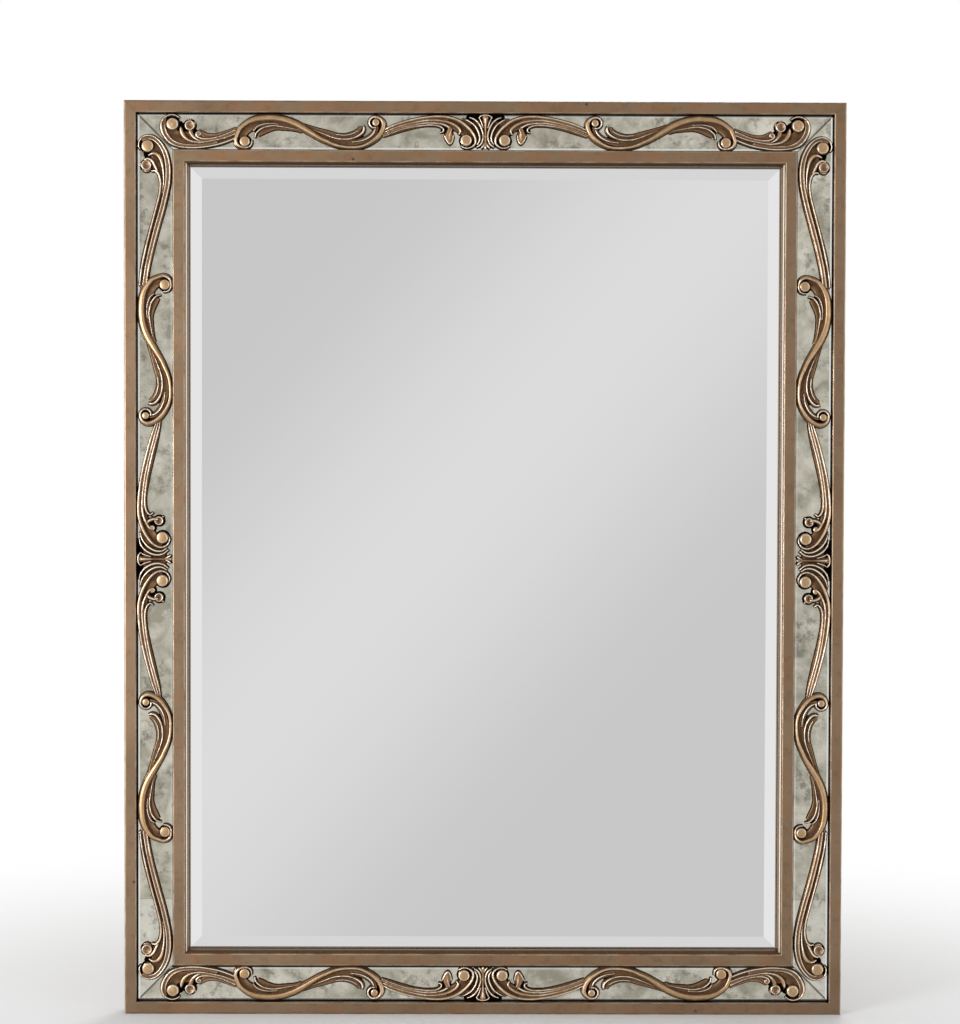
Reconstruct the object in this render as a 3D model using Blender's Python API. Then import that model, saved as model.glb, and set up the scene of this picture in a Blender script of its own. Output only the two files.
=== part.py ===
"""Dresser mirror: a bevelled glass in a deep frame whose channel holds antiqued mirror strips and scroll carvings.

Frame of the model: metres, +Z up, the glass faces -Y. The origin is on the underside of the bottom rail, at
mid-width and mid-depth, where the mirror stands on a dresser top.

Every side of the frame is a "member". A member has its own local frame: X runs along it from its middle, Z is 0 on
its outer edge and falls towards the glass, and Y is the depth. The four members are that frame turned about Y.
"""

import math

import bmesh
import bpy
from mathutils import Matrix, Vector

MM = 0.001
GAP = 0.3 * MM  # clearance between neighbouring pieces

# Overall size
WIDTH = 990 * MM
HEIGHT = 1257 * MM

# Distances in from the outer edge of a member
OUTER_RAIL_W = 16.5 * MM
CHANNEL_END = 67 * MM
INNER_FLAT_END = 83.5 * MM
SIGHT_EDGE = 87.7 * MM
GLASS_EDGE = 83 * MM
REBATE_WALL = 82 * MM
OUTER_TONGUE = 10 * MM
INNER_TONGUE = 74 * MM
PANEL_EDGE = 50 * MM
CHANNEL_W = CHANNEL_END - OUTER_RAIL_W

# Depths, as local Y: the front of the outer rail is at -FRONT and its back at +FRONT
FRONT = 17 * MM
INNER_FRONT = -16 * MM
LIP_FRONT = -7 * MM
LIP_BACK = -2 * MM
STRIP_FRONT = -8 * MM
STRIP_T = 4 * MM
BOARD_FRONT = STRIP_FRONT + STRIP_T + GAP
BOARD_T = 12 * MM
BOARD_BACK = BOARD_FRONT + BOARD_T
GLASS_FRONT = LIP_BACK + GAP
GLASS_T = 5 * MM
FOAM_FRONT = GLASS_FRONT + GLASS_T + GAP
PANEL_FRONT = BOARD_BACK + GAP
PANEL_T = 3 * MM
PANEL_BACK = PANEL_FRONT + PANEL_T

GLASS_BEVEL_W = 22.4 * MM
GLASS_BEVEL_DROP = 2.2 * MM
STRIP_BEVEL_W = 3.5 * MM
STRIP_BEVEL_DROP = 0.8 * MM
STRIP_JOINT_Z = 158 * MM  # height of the butt joint in the side strips

# Screws, hangers and the blocks that a dresser's support posts are screwed to
SHANK_R = 1.75 * MM
HEAD_R = 3.6 * MM
HEAD_H = 2.2 * MM
PILOT_R = SHANK_R + GAP
PANEL_SCREW_L = 12 * MM
PANEL_SCREW_INSET = 60 * MM
HANGER_INSET = 33 * MM
HANGER_AXIS_Z = 1010 * MM
STRAP_W = 18 * MM
STRAP_L = 42 * MM
STRAP_T = 1.5 * MM
STRAP_SCREWS = (11 * MM, 34 * MM)  # below the hinge axis
STRAP_SCREW_L = 9 * MM
WIRE_R = 1.5 * MM
BARREL_BORE_R = WIRE_R + GAP
BARREL_R = BARREL_BORE_R + STRAP_T
HINGE_Y = BOARD_BACK + GAP + BARREL_R
RING_HALF_W = 12 * MM
RING_REACH = 26 * MM
POST_HOLE_R = 2.5 * MM
POST_HOLE_DEPTH = 10 * MM
POST_HOLE_HEIGHTS = (95 * MM, 190 * MM)
POST_BLOCK_EDGES = (13 * MM, 48 * MM)  # in from the mirror's side
POST_INSET = sum(POST_BLOCK_EDGES) / 2
POST_BLOCK_HEIGHTS = (60 * MM, 225 * MM)

# Carvings stand on the strips, and their places along a member are measured from its middle
CARVING_BASE = STRIP_FRONT - GAP
CARVING_H = 9.7 * MM
EYE_H = 8.5 * MM
LEAF_H = 7 * MM
WEB_H = 4.5 * MM
RIDGE_TOP = 0.56  # a ridge's top is this share of its width
SCROLL_PLACE = {"across": 240.5 * MM, "up": 287.5 * MM}
SPRAY_EYE = {"across": 428.5 * MM, "up": 566 * MM}

MEMBERS = {
    "top": ("across", Vector((0, 0, HEIGHT)), 0),
    "right": ("up", Vector((WIDTH / 2, 0, HEIGHT / 2)), 90),
    "bottom": ("across", Vector((0, 0, 0)), 180),
    "left": ("up", Vector((-WIDTH / 2, 0, HEIGHT / 2)), -90),
}
LENGTH = {"across": WIDTH, "up": HEIGHT}
# Which half of each member lies at which end of the object, for naming: (+X half, -X half)
HALVES = {
    "top": ("right", "left"),
    "right": ("lower", "upper"),
    "bottom": ("left", "right"),
    "left": ("upper", "lower"),
}

# Colour, roughness, metallic
FINISHES = {
    "champagne_paint": ((0.33, 0.22, 0.13), 0.45, 0.5),
    "antique_gold": ((0.42, 0.26, 0.13), 0.35, 0.8),
    "antique_mirror": ((0.52, 0.52, 0.46), 0.2, 0.9),
    "mirror": ((0.8, 0.82, 0.82), 0.03, 1.0),
    "fibreboard": ((0.36, 0.25, 0.16), 0.85, 0.0),
    "hardboard": ((0.19, 0.11, 0.06), 0.8, 0.0),
    "pine": ((0.62, 0.42, 0.22), 0.7, 0.0),
    "foam": ((0.8, 0.8, 0.78), 0.9, 0.0),
    "steel": ((0.55, 0.55, 0.57), 0.35, 1.0),
}


# ---------------------------------------------------------------- materials and objects

def material(finish):
    found = bpy.data.materials.get(finish)
    if found:
        return found
    colour, roughness, metallic = FINISHES[finish]
    made = bpy.data.materials.new(finish)
    made.use_nodes = True
    shader = made.node_tree.nodes["Principled BSDF"]
    shader.inputs["Base Color"].default_value = (*colour, 1)
    shader.inputs["Roughness"].default_value = roughness
    shader.inputs["Metallic"].default_value = metallic
    return made


def add_object(name, mesh, finish, parent=None, location=(0, 0, 0), turn=0.0, smooth=None):
    """A named object holding mesh, turned by `turn` degrees about Y; smooth is the sharp-edge angle in degrees."""
    obj = bpy.data.objects.new(name, mesh)
    bpy.context.scene.collection.objects.link(obj)
    obj.parent = parent
    obj.location = location
    obj.rotation_euler = (0, math.radians(turn), 0)
    if not mesh.materials:
        mesh.materials.append(material(finish))
    if smooth:
        mesh.shade_smooth()
        mesh.set_sharp_from_angle(angle=math.radians(smooth))
    return obj


def add_empty(name, location, turn=0.0, parent=None):
    empty = bpy.data.objects.new(name, None)
    bpy.context.scene.collection.objects.link(empty)
    empty.parent = parent
    empty.location = location
    empty.rotation_euler = (0, math.radians(turn), 0)
    return empty


# ---------------------------------------------------------------- mesh building

def mesh_from(name, vertices, faces):
    mesh = bpy.data.meshes.new(name)
    mesh.from_pydata([tuple(v) for v in vertices], [], faces)
    bm = bmesh.new()
    bm.from_mesh(mesh)
    bmesh.ops.recalc_face_normals(bm, faces=bm.faces)
    bm.to_mesh(mesh)
    bm.free()
    return mesh


def loft(name, loops, closed=False):
    """A solid through loops of equal length; the ends are capped unless the loops form a closed ring."""
    size = len(loops[0])
    vertices = [v for loop in loops for v in loop]
    faces = []
    for i in range(len(loops) if closed else len(loops) - 1):
        here, there = i * size, (i + 1) % len(loops) * size
        for k in range(size):
            n = (k + 1) % size
            faces.append((here + k, here + n, there + n, there + k))
    if not closed:
        faces.append(tuple(range(size)))
        faces.append(tuple((len(loops) - 1) * size + k for k in range(size)))
    return mesh_from(name, vertices, faces)


def combined(name, operation, base, others):
    """base joined with, or cut by, each mesh in others, as one new mesh."""
    holder = bpy.data.objects.new(name, base)
    bpy.context.scene.collection.objects.link(holder)
    helpers = [holder]
    for other in others:
        helper = bpy.data.objects.new(name + "_helper", other)
        bpy.context.scene.collection.objects.link(helper)
        helpers.append(helper)
        step = holder.modifiers.new("join", "BOOLEAN")
        step.operation = operation
        step.solver = "EXACT"
        step.object = helper
    graph = bpy.context.evaluated_depsgraph_get()
    made = bpy.data.meshes.new_from_object(holder.evaluated_get(graph), depsgraph=graph)
    made.name = name
    for helper in helpers:
        bpy.data.objects.remove(helper)
    return made


def circle(radius, sides, phase=0.0):
    return [
        (radius * math.cos(phase + math.tau * k / sides), radius * math.sin(phase + math.tau * k / sides))
        for k in range(sides)
    ]


def rod(name, radius, y_from, y_to, x=0.0, z=0.0, sides=10):
    """A round bar along Y."""
    return loft(name, [[(x + a, y, z + b) for a, b in circle(radius, sides)] for y in (y_from, y_to)])


def arc(centre, radius, start, end, steps):
    """Points of an arc in the plane of a section, with angles in degrees."""
    return [
        (centre[0] + radius * math.cos(math.radians(start + (end - start) * k / steps)),
         centre[1] + radius * math.sin(math.radians(start + (end - start) * k / steps)))
        for k in range(steps + 1)
    ]


# ---------------------------------------------------------------- frame members

def outer_rail_section():
    """(distance in from the edge, depth) of the outer rail: rounded front edges and a rebate for the board."""
    edge, arris = 2.5 * MM, 1.2 * MM
    return [
        (0, FRONT),
        *arc((edge, -FRONT + edge), edge, 180, 270, 3),
        *arc((OUTER_RAIL_W - arris, -FRONT + arris), arris, 270, 360, 2),
        (OUTER_RAIL_W, BOARD_FRONT - GAP),
        (OUTER_TONGUE, BOARD_FRONT - GAP),
        (OUTER_TONGUE, FRONT),
    ]


def inner_rail_section():
    """The inner rail: a flat, a quirk, a bead that slopes to the glass, and rebates for the board and the glass."""
    arris, quirk_w, quirk_y = 1.2 * MM, 0.7 * MM, -10.5 * MM
    bead = SIGHT_EDGE - INNER_FLAT_END - quirk_w
    return [
        *arc((CHANNEL_END + arris, INNER_FRONT + arris), arris, 180, 270, 2),
        *arc((INNER_FLAT_END - arris, INNER_FRONT + arris), arris, 270, 360, 2),
        (INNER_FLAT_END, quirk_y),
        (INNER_FLAT_END + quirk_w, quirk_y),
        *[(SIGHT_EDGE - bead * math.cos(math.radians(a)), LIP_FRONT + (quirk_y - 1.5 * MM - LIP_FRONT)
           * math.cos(math.radians(a)) ** 0.6) for a in (0, 35, 60, 78)],
        (SIGHT_EDGE, LIP_FRONT + 0.8 * MM),
        (SIGHT_EDGE, LIP_BACK),
        (REBATE_WALL, LIP_BACK),
        (REBATE_WALL, BOARD_BACK),
        (INNER_TONGUE, BOARD_BACK),
        (INNER_TONGUE, BOARD_FRONT - GAP),
        (CHANNEL_END, BOARD_FRONT - GAP),
    ]


def board_section():
    return [
        (OUTER_TONGUE + GAP, BOARD_FRONT),
        (INNER_TONGUE - GAP, BOARD_FRONT),
        (INNER_TONGUE - GAP, BOARD_BACK),
        (OUTER_TONGUE + GAP, BOARD_BACK),
    ]


def mitred_bar(name, section, length):
    """The section run along a member and cut at 45 degrees at both ends, half a gap short of the corner."""
    ends = []
    for side in (-1, 1):
        ends.append([(side * (length / 2 - inset - GAP / 2), y, -inset) for inset, y in section])
    return loft(name, ends)


def board_holes(member, run):
    """Pilot holes in the back of a member's board, as bars to cut away."""
    holes = []
    for place in panel_screw_places(member):
        holes.append(rod("pilot", PILOT_R, BOARD_BACK - PANEL_SCREW_L + PANEL_T, BOARD_BACK + GAP,
                         place, -PANEL_SCREW_INSET))
    if run == "up":
        up = 1 if member == "left" else -1
        for drop in STRAP_SCREWS:
            place = up * (HANGER_AXIS_Z - drop - HEIGHT / 2)
            holes.append(rod("pilot", PILOT_R, BOARD_BACK - STRAP_SCREW_L, BOARD_BACK + GAP,
                             place, -HANGER_INSET))
        for height in POST_HOLE_HEIGHTS:
            place = up * (height - HEIGHT / 2)
            holes.append(rod("post_hole", POST_HOLE_R, BOARD_BACK - POST_HOLE_DEPTH, BOARD_BACK + GAP,
                             place, -POST_INSET))
    return holes


def panel_screw_places(member):
    """Places along a member of the two screws that hold the back panel to it."""
    reach = 0.3 * LENGTH[MEMBERS[member][0]]
    return (-reach, reach)


def build_members(empties):
    bars = {
        run: (mitred_bar("outer_rail", outer_rail_section(), LENGTH[run]),
              mitred_bar("inner_rail", inner_rail_section(), LENGTH[run]))
        for run in LENGTH
    }
    for member, (run, _, _) in MEMBERS.items():
        outer, inner = bars[run]
        add_object(f"outer_rail_{member}", outer, "champagne_paint", empties[member], smooth=40)
        add_object(f"inner_rail_{member}", inner, "champagne_paint", empties[member], smooth=40)
        board = mitred_bar("board", board_section(), LENGTH[run])
        board = combined("channel_board", "DIFFERENCE", board, board_holes(member, run))
        add_object(f"channel_board_{member}", board, "fibreboard", empties[member])


# ---------------------------------------------------------------- plates of glass

def inset_loop(corners, distances):
    """A convex outline, anticlockwise in its own plane, with each edge moved inwards by its own distance."""
    moved = []
    count = len(corners)
    for i in range(count):
        before, here, after = (Vector(corners[j % count]) for j in (i - 1, i, i + 1))
        a, b = (here - before).normalized(), (after - here).normalized()
        normal_a, normal_b = Vector((-a.y, a.x)), Vector((-b.y, b.x))
        move_a, move_b, cosine = distances[i - 1], distances[i], normal_a.dot(normal_b)
        shift = normal_a * (move_a - move_b * cosine) + normal_b * (move_b - move_a * cosine)
        moved.append(here + shift / (1 - cosine ** 2))
    return moved


def bevelled_plate(name, corners, front, thickness, bevel_widths, bevel_drop):
    """A plate with the given (x, z) outline whose front is ground down along each edge over that edge's width."""
    inner = inset_loop(corners, bevel_widths)
    return loft(name, [
        [(x, front + thickness, z) for x, z in corners],
        [(x, front + bevel_drop, z) for x, z in corners],
        [(x, front, z) for x, z in inner],
    ])


def strip_outline(length, start=None, end=None):
    """The outline of a strip in its member's frame, mitred at both ends unless start or end cuts it square."""
    low, high = CHANNEL_END - GAP, OUTER_RAIL_W + GAP
    mitre = GAP / 2
    left = [-(length / 2 - high - mitre), -(length / 2 - low - mitre)] if start is None else [start, start]
    right = [length / 2 - low - mitre, length / 2 - high - mitre] if end is None else [end, end]
    return [(left[1], -low), (right[0], -low), (right[1], -high), (left[0], -high)]


def build_strips(empties):
    def strip(name, member, **cut):
        outline = strip_outline(LENGTH[MEMBERS[member][0]], **cut)
        bevels = (STRIP_BEVEL_W, 0, STRIP_BEVEL_W, 0)  # the long edges only
        plate = bevelled_plate(name, outline, STRIP_FRONT, STRIP_T, bevels, STRIP_BEVEL_DROP)
        add_object(name, plate, "antique_mirror", empties[member])

    strip("antique_strip_top", "top")
    strip("antique_strip_bottom", "bottom")
    joint = HEIGHT / 2 - STRIP_JOINT_Z  # below the middle of a side member
    strip("antique_strip_left_upper", "left", start=-joint + GAP / 2)
    strip("antique_strip_left_lower", "left", end=-joint - GAP / 2)
    strip("antique_strip_right_upper", "right", end=joint - GAP / 2)
    strip("antique_strip_right_lower", "right", start=joint + GAP / 2)


def rectangle(inset):
    """The outline, in X and Z, at a distance in from the mirror's outer edge."""
    x, low, high = WIDTH / 2 - inset, inset, HEIGHT - inset
    return [(-x, low), (x, low), (x, high), (-x, high)]


def build_glass_and_back(root):
    glass = bevelled_plate("mirror_glass", rectangle(GLASS_EDGE), GLASS_FRONT, GLASS_T,
                           (GLASS_BEVEL_W,) * 4, GLASS_BEVEL_DROP)
    add_object("mirror_glass", glass, "mirror", root)
    outline = rectangle(GLASS_EDGE)
    foam = loft("foam", [[(x, y, z) for x, z in outline] for y in (FOAM_FRONT, BOARD_BACK)])
    add_object("foam_backing_sheet", foam, "foam", root)
    outline = rectangle(PANEL_EDGE)
    panel = loft("panel", [[(x, y, z) for x, z in outline] for y in (PANEL_FRONT, PANEL_BACK)])
    holes = [rod("hole", PILOT_R + GAP, PANEL_FRONT - GAP, PANEL_BACK + GAP, x, z)
             for x, z in (panel_screw_point(m, p) for m in MEMBERS for p in panel_screw_places(m))]
    add_object("back_panel", combined("back_panel", "DIFFERENCE", panel, holes), "hardboard", root)


# ---------------------------------------------------------------- screws and hangers

def screw_mesh(length):
    """A pan-head screw along -Y: its head's underside is at y = 0 and its shank runs towards the glass."""
    steps = [(0.5 * SHANK_R, -length), (SHANK_R, -length + 2 * MM), (SHANK_R, 0), (HEAD_R, 0),
             (HEAD_R, 0.5 * HEAD_H), (0.75 * HEAD_R, HEAD_H)]
    return loft("screw", [[(a, y, b) for a, b in circle(r, 10)] for r, y in steps])


def panel_screw_point(member, place):
    """(x, z) of a panel screw."""
    _, origin, turn = MEMBERS[member]
    angle = math.radians(turn)
    return (origin.x + place * math.cos(angle) - PANEL_SCREW_INSET * math.sin(angle),
            origin.z - place * math.sin(angle) - PANEL_SCREW_INSET * math.cos(angle))


def build_panel_screws(root):
    mesh = screw_mesh(PANEL_SCREW_L)
    for member in MEMBERS:
        for half, place in zip(HALVES[member], reversed(panel_screw_places(member))):
            x, z = panel_screw_point(member, place)
            add_object(f"panel_screw_{member}_{half}", mesh, "steel", root, (x, PANEL_BACK + GAP, z), smooth=35)


def strap_mesh():
    """The hanger's strap: a plate with two screw holes and a rolled barrel at y = z = 0, open along X."""
    plate_y = BOARD_BACK + GAP - HINGE_Y
    half = STRAP_W / 2
    barrel = loft("barrel", [[(x, a, b) for a, b in circle(BARREL_R, 16)] for x in (-half, half)])
    chamfer = 3 * MM
    outline = [(-half, 0), (-half, -STRAP_L + chamfer), (-half + chamfer, -STRAP_L),
               (half - chamfer, -STRAP_L), (half, -STRAP_L + chamfer), (half, 0)]
    plate = loft("plate", [[(x * 0.999, y, z) for x, z in outline] for y in (plate_y, plate_y + STRAP_T)])
    solid = combined("strap", "UNION", barrel, [plate])
    bore = loft("bore", [[(x, a, b) for a, b in circle(BARREL_BORE_R, 12)] for x in (-2 * half, 2 * half)])
    holes = [rod("hole", PILOT_R + GAP, plate_y - GAP, plate_y + 2 * STRAP_T, 0, -drop)
             for drop in STRAP_SCREWS]
    return combined("hanger_strap", "DIFFERENCE", solid, [bore, *holes])


def ring_mesh():
    """The D ring: its straight leg lies on the X axis through the barrel and its bow hangs down to RING_REACH."""
    corner = 4 * MM
    bow = RING_REACH - RING_HALF_W
    path = [(-RING_HALF_W / 3, 0), (RING_HALF_W / 3, 0)]
    path += arc((RING_HALF_W - corner, corner), corner, 270, 360, 3)
    path += arc((0, bow), RING_HALF_W, 0, 180, 8)
    path += arc((-RING_HALF_W + corner, corner), corner, 180, 270, 3)
    loops = []
    for i, here in enumerate(path):
        before, after = Vector(path[i - 1]), Vector(path[(i + 1) % len(path)])
        along = (after - before).normalized()
        out = Vector((along.y, -along.x))
        loops.append([(here[0] + a * out.x, b, -here[1] - a * out.y) for a, b in circle(WIRE_R, 8)])
    return loft("hanger_ring", loops, closed=True)


def build_hangers(root):
    strap, ring, screw = strap_mesh(), ring_mesh(), screw_mesh(STRAP_SCREW_L)
    for side, name in ((-1, "left"), (1, "right")):
        x = side * (WIDTH / 2 - HANGER_INSET)
        axis = add_empty(f"hanger_axis_{name}", (x, HINGE_Y, HANGER_AXIS_Z), parent=root)
        add_object(f"hanger_strap_{name}", strap, "steel", axis, smooth=35)
        add_object(f"hanger_ring_{name}", ring, "steel", axis, smooth=60)
        head_y = BOARD_BACK + 2 * GAP + STRAP_T - HINGE_Y
        for drop, place in zip(STRAP_SCREWS, ("upper", "lower")):
            add_object(f"hanger_screw_{name}_{place}", screw, "steel", axis, (0, head_y, -drop), smooth=35)


def build_post_blocks(root):
    """Filler blocks, flush with the back of the outer rails, with pilot holes through them into the boards."""
    reach = WIDTH / 2 - POST_BLOCK_EDGES[1], WIDTH / 2 - POST_BLOCK_EDGES[0]
    low, high = POST_BLOCK_HEIGHTS
    for side, name in ((-1, "left"), (1, "right")):
        outline = [(side * x, z) for x, z in ((reach[0], low), (reach[1], low), (reach[1], high), (reach[0], high))]
        block = loft("block", [[(x, y, z) for x, z in outline] for y in (BOARD_BACK + GAP, FRONT)])
        holes = [rod("hole", POST_HOLE_R, BOARD_BACK, FRONT + GAP, side * (WIDTH / 2 - POST_INSET), z)
                 for z in POST_HOLE_HEIGHTS]
        add_object(f"post_block_{name}", combined("post_block", "DIFFERENCE", block, holes), "pine", root)


# ---------------------------------------------------------------- carvings
# Carvings are drawn in millimetres as (place along the member, height above the channel's inner edge, width).

def member_point(along, across, height):
    """A carving's point in its member's frame."""
    return (along * MM, CARVING_BASE - height, across * MM - CHANNEL_END)


def ridge(points, height):
    """A swept bar of trapezoid section through (along, across, width) points."""
    rows = [Vector(point) for point in points]
    loops = []
    for i, row in enumerate(rows):
        along = (rows[min(i + 1, len(rows) - 1)] - rows[max(i - 1, 0)]).xy.normalized()
        normal = Vector((-along.y, along.x)) * row.z / 2
        loop = []
        for share, level in ((-1, 0), (1, 0), (RIDGE_TOP, height), (-RIDGE_TOP, height)):
            loop.append(member_point(row.x + share * normal.x, row.y + share * normal.y, level))
        loops.append(loop)
    return loft("ridge", loops)


def button(along, across, radius, height=EYE_H, sides=10):
    """A round boss, narrower at the top, as at the eye of a volute or a leaf's bud."""
    return loft("button", [
        [member_point(along + a, across + b, level) for a, b in circle(radius * share, sides, 0.13)]
        for share, level in ((1, 0), (1, 0.7 * height), (0.75, height))
    ])


def fan():
    """The palmette at the middle of a member: a waisted trumpet, flared towards the outer edge."""
    half = [(7, 2), (4.5, 7), (3, 16), (3.2, 28), (5.5, 40), (9, 47.5)]
    outline = half + [(-a, b) for a, b in reversed(half)]
    return loft("fan", [
        [member_point(a * share, 25 + (b - 25) * (1 - (1 - share) * 0.2), level) for a, b in outline]
        for share, level in ((1, 0), (0.7, CARVING_H - 1 * MM))
    ])


def scroll_parts():
    """An S-scroll about its own centre. Its eye away from the member's middle lies on the inner side."""
    rib = [
        (82, 6, 2.2), (91, 2.6, 3), (99.2, 6, 5), (101.5, 14, 6), (97.2, 26.7, 7), (87, 36.6, 8), (70.4, 43, 9.6),
        (44.4, 43.3, 9.6), (18.6, 35.6, 9.6), (-1.4, 22, 8), (-23.8, 11.4, 6.6), (-43.4, 4.6, 5.4),
        (-66.3, 3.8, 5), (-83.9, 10.8, 6), (-96.9, 22.8, 7), (-101.2, 35.8, 7), (-97.5, 44, 5),
        (-87, 46.5, 3.4), (-81.5, 41, 2.2),
    ]
    leaf_far = [(88, 10, 14), (84, 25, 12), (64, 34, 12), (36, 33, 10), (8, 26, 5)]
    leaf_near = [(-89, 38, 12), (-84, 20, 10), (-62, 13, 12), (-36, 16, 11), (-8, 26, 5)]
    return [ridge(rib, CARVING_H), button(88.8, 11, 7.6), button(-89.8, 37.4, 6.4),
            ridge(leaf_far, LEAF_H), ridge(leaf_near, LEAF_H)]


def spray_parts(stem):
    """A leaf spray about its volute's eye, at the outer side; stem lists the rib's run towards the S-scroll."""
    rib = stem + [(-44, 8, 12), (-24, 6, 10), (-6, 9.5, 8), (8, 18, 7), (14, 30, 6), (10.5, 40.5, 4.4),
                  (2, 46, 2.8), (-7, 43.5, 2)]
    stalk = [(-56, 14, 6), (-42, 15, 8), (-31, 21, 9), (-25, 30, 7)]
    web = [(-40, 9, 12), (-24, 12, 14), (-9, 22, 16), (1, 35, 16)]
    return [ridge(rib, CARVING_H), button(0, 34.5, 8.4), button(-24, 32, 7.6, LEAF_H),
            ridge(stalk, LEAF_H), ridge(web, WEB_H)]


def centre_parts(stem):
    """The palmette with a C-scroll and leaves on both sides; stem is the C-scroll's run out to the S-scroll."""
    parts = [fan()]
    rib = [(33.8, 4.6, 2), (25, 2.2, 2.8), (15.5, 6.5, 4), (13.2, 17, 5.6), (21, 29, 7), (35, 38, 8.4)] + stem
    lobe = [(37, 18.5, 4), (38, 27, 8), (50, 35.5, 8), (78, 37, 5)]
    bud = [(48.5, 15, 12), (51, 23, 6), (66, 33, 6)]
    blade = [(10.6, 3, 3), (5.6, 12, 4), (6.4, 29, 4.4), (17, 44, 4)]
    web = [(22, 17, 12), (34, 31, 14), (56, 38, 10)]
    for side in (1, -1):
        parts.append(ridge(mirrored(rib, side), CARVING_H))
        parts.append(button(26.5 * side, 12, 8.4))
        parts += [ridge(mirrored(line, side), LEAF_H) for line in (lobe, bud, blade)]
        parts.append(ridge(mirrored(web, side), WEB_H))
    parts.append(ridge([(-20, 12, 16), (20, 12, 16)], WEB_H))
    parts.append(ridge([(-16, 38, 13), (16, 38, 13)], WEB_H))
    return parts


def mirrored(points, side):
    return [(side * along, across, width) for along, across, width in points]


def fused(name, parts):
    return combined(name, "UNION", parts[0], parts[1:])


def both_hands(mesh):
    """A carving for each half of a member: the mesh itself for the +X half and its mirror image for the -X half."""
    left_hand = mesh.copy()
    left_hand.transform(Matrix.Diagonal((-1, 1, 1, 1)))
    left_hand.flip_normals()
    return {1: mesh, -1: left_hand}


SPRAY_STEMS = {
    "across": [(-80, 16, 9), (-62, 10.5, 12)],
    "up": [(-175, 41, 12), (-146, 34, 13), (-108, 25, 13), (-68, 13, 13)],
}
CENTRE_STEMS = {
    "across": [(54, 42.5, 10), (80, 41, 12), (106, 36, 12.5), (134, 26.5, 10)],
    "up": [(54, 42.5, 9), (88, 43, 12), (120, 37.5, 12.5), (179, 22.5, 10)],
}


def build_carvings(empties):
    scrolls = both_hands(fused("scroll", scroll_parts()))
    for run in LENGTH:
        sprays = both_hands(fused("spray", spray_parts(SPRAY_STEMS[run])))
        centre = fused("centre", centre_parts(CENTRE_STEMS[run]))
        for member in (m for m in MEMBERS if MEMBERS[m][0] == run):
            add_object(f"centre_carving_{member}", centre, "antique_gold", empties[member])
            for side, half in zip((1, -1), HALVES[member]):
                add_object(f"scroll_{member}_{half}", scrolls[side], "antique_gold", empties[member],
                           (side * SCROLL_PLACE[run], 0, 0))
                add_object(f"spray_{member}_{half}", sprays[side], "antique_gold", empties[member],
                           (side * SPRAY_EYE[run], 0, 0))


# ---------------------------------------------------------------- assembly

def clear_scene():
    for obj in list(bpy.data.objects):
        bpy.data.objects.remove(obj)


def main():
    clear_scene()
    root = add_empty("dresser_mirror", (0, 0, 0))
    empties = {m: add_empty(f"member_{m}", origin, turn, root) for m, (_, origin, turn) in MEMBERS.items()}
    build_members(empties)
    build_strips(empties)
    build_glass_and_back(root)
    build_panel_screws(root)
    build_hangers(root)
    build_post_blocks(root)
    build_carvings(empties)


main()
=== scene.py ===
"""Looks for the dresser mirror: painted mouldings, cast gilt ornaments, antiqued and clear mirror glass.

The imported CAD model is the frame. The mouldings, glass, boards and hardware keep their CAD shapes and get
finer materials. The ornaments are modelled again in fine meshes, each in the place of its CAD node, and the
mitre joints get painted filler. Lengths are in metres, except in the ornaments' own drawings, which are in
millimetres.
"""

import math

import bpy
import numpy as np
from mathutils import Matrix, Vector


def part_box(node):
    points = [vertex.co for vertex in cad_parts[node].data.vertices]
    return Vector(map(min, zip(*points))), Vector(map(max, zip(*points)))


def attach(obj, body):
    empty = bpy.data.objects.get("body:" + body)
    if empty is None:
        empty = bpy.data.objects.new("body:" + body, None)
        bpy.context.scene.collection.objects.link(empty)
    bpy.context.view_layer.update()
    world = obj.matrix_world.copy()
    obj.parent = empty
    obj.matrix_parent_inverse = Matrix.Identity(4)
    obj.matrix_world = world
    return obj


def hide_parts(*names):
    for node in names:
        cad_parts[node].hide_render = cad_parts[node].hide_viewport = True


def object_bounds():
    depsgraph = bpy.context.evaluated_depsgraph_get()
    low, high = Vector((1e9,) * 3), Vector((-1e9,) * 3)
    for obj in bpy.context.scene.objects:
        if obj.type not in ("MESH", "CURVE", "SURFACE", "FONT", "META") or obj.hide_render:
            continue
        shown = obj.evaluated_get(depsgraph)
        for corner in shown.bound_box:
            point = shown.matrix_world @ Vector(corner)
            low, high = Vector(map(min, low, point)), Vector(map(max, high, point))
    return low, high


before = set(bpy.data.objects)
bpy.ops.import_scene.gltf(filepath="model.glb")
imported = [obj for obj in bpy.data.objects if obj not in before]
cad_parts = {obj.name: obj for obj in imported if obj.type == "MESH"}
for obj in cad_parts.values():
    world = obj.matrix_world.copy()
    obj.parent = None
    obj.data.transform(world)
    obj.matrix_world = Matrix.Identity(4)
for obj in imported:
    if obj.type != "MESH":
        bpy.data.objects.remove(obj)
CAD_LOW, CAD_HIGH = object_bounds()

MM = 0.001
WIDTH = CAD_HIGH.x - CAD_LOW.x
HEIGHT = CAD_HIGH.z - CAD_LOW.z
STRIP_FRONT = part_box("antique_strip_top")[0].y
FACE_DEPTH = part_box("inner_rail_top")[0].y  # the front of the inner rail's flat
INNER_FLAT_W = 16.5 * MM

# A member's turn about Y, and the names of its +X and -X halves before that turn, as in the CAD model
MEMBERS = {
    "top": (0, ("right", "left")),
    "right": (90, ("lower", "upper")),
    "bottom": (180, ("left", "right")),
    "left": (-90, ("upper", "lower")),
}
RUN = {"top": "across", "bottom": "across", "left": "up", "right": "up"}


# ---------------------------------------------------------------- material nodes

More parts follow.
